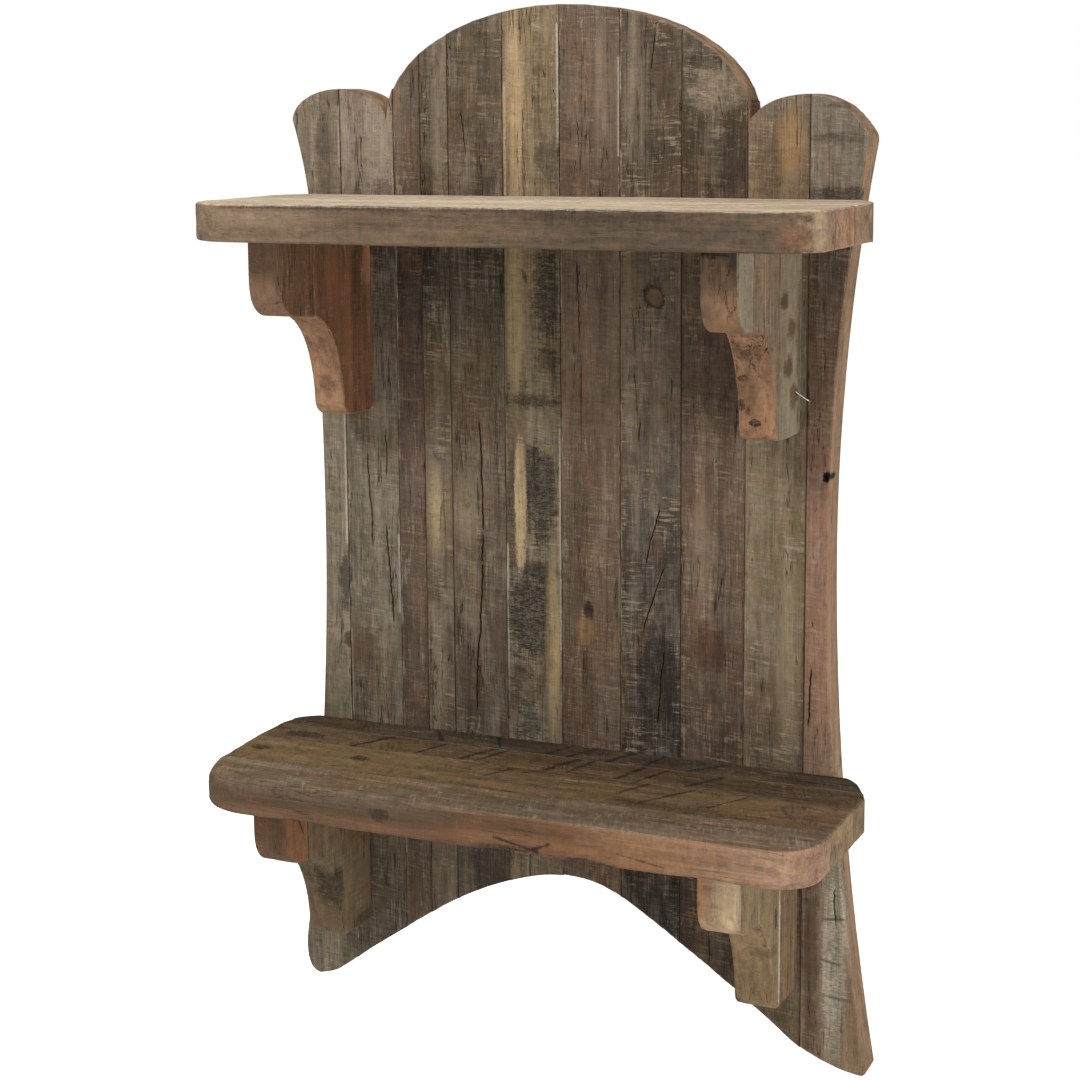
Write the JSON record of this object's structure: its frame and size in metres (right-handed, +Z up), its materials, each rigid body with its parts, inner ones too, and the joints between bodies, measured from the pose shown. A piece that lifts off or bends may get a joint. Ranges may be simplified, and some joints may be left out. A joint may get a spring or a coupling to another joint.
{
  "type": "wall shelf",
  "caption": "Rustic wall shelf: a waisted, arch-topped back board of glued strips with two thick shelves on scroll brackets, hung on keyhole plates.",
  "frame": {"origin": "back face of the board, on the wall plane, midway between the two keyhole plates and level with them", "axes": "+Z up, +Y into the wall, +X to the right of a person facing the shelf"},
  "size_m": [0.555, 0.231, 0.903],
  "materials": {
    "grey_timber": "reclaimed timber, sun-greyed and rough-sawn, oiled thin",
    "brown_timber": "reclaimed timber, weathered brown with saw marks and cracks",
    "cream_timber": "pale reclaimed timber with dark weathered patches",
    "red_timber": "reddish reclaimed timber, lightly sanded",
    "dark_timber": "dark weathered timber with slanting saw marks",
    "shelf_timber": "reclaimed timber, planed and worn at the edges",
    "bracket_timber": "bandsawn reclaimed timber with knots and glue lines",
    "zinc_steel": "zinc plated",
    "bright_steel": "bright drawn wire"
  },
  "bodies": {
    "root": {"board_strip_01": "grey_timber", "board_strip_02": "grey_timber", "board_strip_03": "brown_timber", "board_strip_04": "brown_timber", "board_strip_05": "brown_timber", "board_strip_06": "cream_timber", "board_strip_07": "brown_timber", "board_strip_08": "brown_timber", "board_strip_09": "brown_timber", "board_strip_10": "grey_timber", "board_strip_11": "red_timber", "upper_shelf_strip_1": "dark_timber", "upper_shelf_strip_2": "shelf_timber", "upper_shelf_strip_3": "shelf_timber", "upper_shelf_strip_4": "shelf_timber", "lower_shelf_strip_1": "dark_timber", "lower_shelf_strip_2": "shelf_timber", "lower_shelf_strip_3": "shelf_timber", "lower_shelf_strip_4": "shelf_timber", "bracket_upper_left_layer_1": "bracket_timber", "bracket_upper_left_layer_2": "bracket_timber", "bracket_upper_right_layer_1": "bracket_timber", "bracket_upper_right_layer_2": "bracket_timber", "bracket_upper_right_layer_3": "bracket_timber", "bracket_lower_left_layer_1": "bracket_timber", "bracket_lower_left_layer_2": "bracket_timber", "bracket_lower_right_layer_1": "bracket_timber", "bracket_lower_right_layer_2": "bracket_timber", "bracket_lower_right_layer_3": "bracket_timber", "upper_shelf_screw_1": "zinc_steel", "upper_shelf_screw_2": "zinc_steel", "upper_shelf_screw_3": "zinc_steel", "upper_shelf_screw_4": "zinc_steel", "lower_shelf_screw_1": "zinc_steel", "lower_shelf_screw_2": "zinc_steel", "lower_shelf_screw_3": "zinc_steel", "lower_shelf_screw_4": "zinc_steel", "bracket_upper_left_screw_1": "zinc_steel", "bracket_upper_left_screw_2": "zinc_steel", "bracket_upper_right_screw_1": "zinc_steel", "bracket_upper_right_screw_2": "zinc_steel", "bracket_lower_left_screw_1": "zinc_steel", "bracket_lower_left_screw_2": "zinc_steel", "bracket_lower_right_screw_1": "zinc_steel", "bracket_lower_right_screw_2": "zinc_steel", "hanger_1_screw_1": "zinc_steel", "hanger_1_screw_2": "zinc_steel", "hanger_2_screw_1": "zinc_steel", "hanger_2_screw_2": "zinc_steel", "hanger_plate_1": "zinc_steel", "hanger_plate_2": "zinc_steel", "brad_nail": "bright_steel"}
  },
  "joints": []
}
